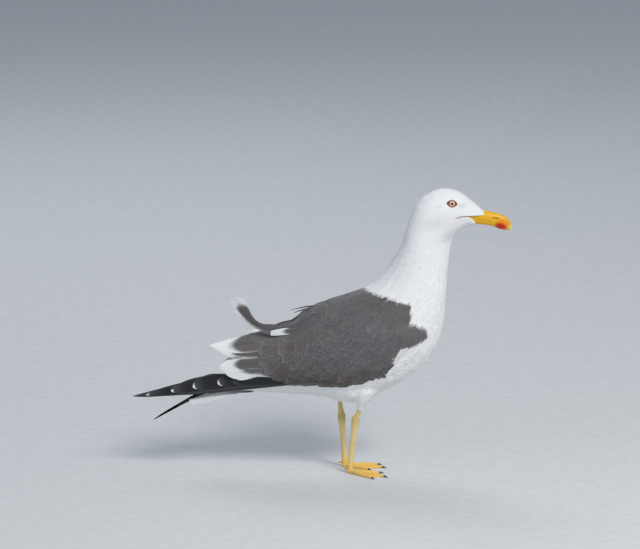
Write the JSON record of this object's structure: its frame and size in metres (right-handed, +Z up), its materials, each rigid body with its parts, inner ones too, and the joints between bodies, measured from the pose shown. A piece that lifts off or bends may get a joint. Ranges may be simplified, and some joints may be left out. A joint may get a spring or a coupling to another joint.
{
  "type": "lesser black-backed gull",
  "caption": "Life-size standing adult gull with a white head, neck and breast, slate-grey folded wings, black wing tips, yellow bill and yellow webbed feet.",
  "frame": {"origin": "on the floor under the middle of the whole bird's extent", "axes": "+X ahead of the bird, from tail to bill; +Y to the bird's left; +Z up"},
  "size_m": [0.5318, 0.1316, 0.402],
  "materials": {
    "white_plumage": "white contour feathers, soft and matte",
    "grey_plumage": "slate grey feathers with paler edges and white tips behind, matte",
    "black_plumage": "black flight feathers with small white tips, slight sheen",
    "bill": "yellow horn with a red spot near the tip of the lower mandible, semi-gloss",
    "eye": "pale yellow iris, black pupil, wet gloss, in a dark red ring of bare skin",
    "leg_skin": "yellow scaled skin, webs smoother, satin",
    "claw": "dark horn, semi-gloss"
  },
  "bodies": {
    "root": {"trunk": "white_plumage", "neck": "white_plumage", "head": "white_plumage", "bill_upper": "bill", "bill_lower": "bill", "eye_right": "eye", "eye_left": "eye", "tail": "white_plumage", "wing_right": "grey_plumage", "tertials_right": "grey_plumage", "secondaries_right": "white_plumage", "primaries_right": "black_plumage", "wing_left": "grey_plumage", "tertials_left": "grey_plumage", "secondaries_left": "white_plumage", "primaries_left": "black_plumage", "lifted_feather": "grey_plumage", "thigh_right": "white_plumage", "tibia_right": "leg_skin", "tarsus_right": "leg_skin", "foot_right": "leg_skin", "claw_middle_right": "claw", "claw_outer_right": "claw", "claw_inner_right": "claw", "claw_hind_right": "claw", "thigh_left": "white_plumage", "tibia_left": "leg_skin", "tarsus_left": "leg_skin", "foot_left": "leg_skin", "claw_middle_left": "claw", "claw_outer_left": "claw", "claw_inner_left": "claw", "claw_hind_left": "claw"}
  },
  "joints": []
}
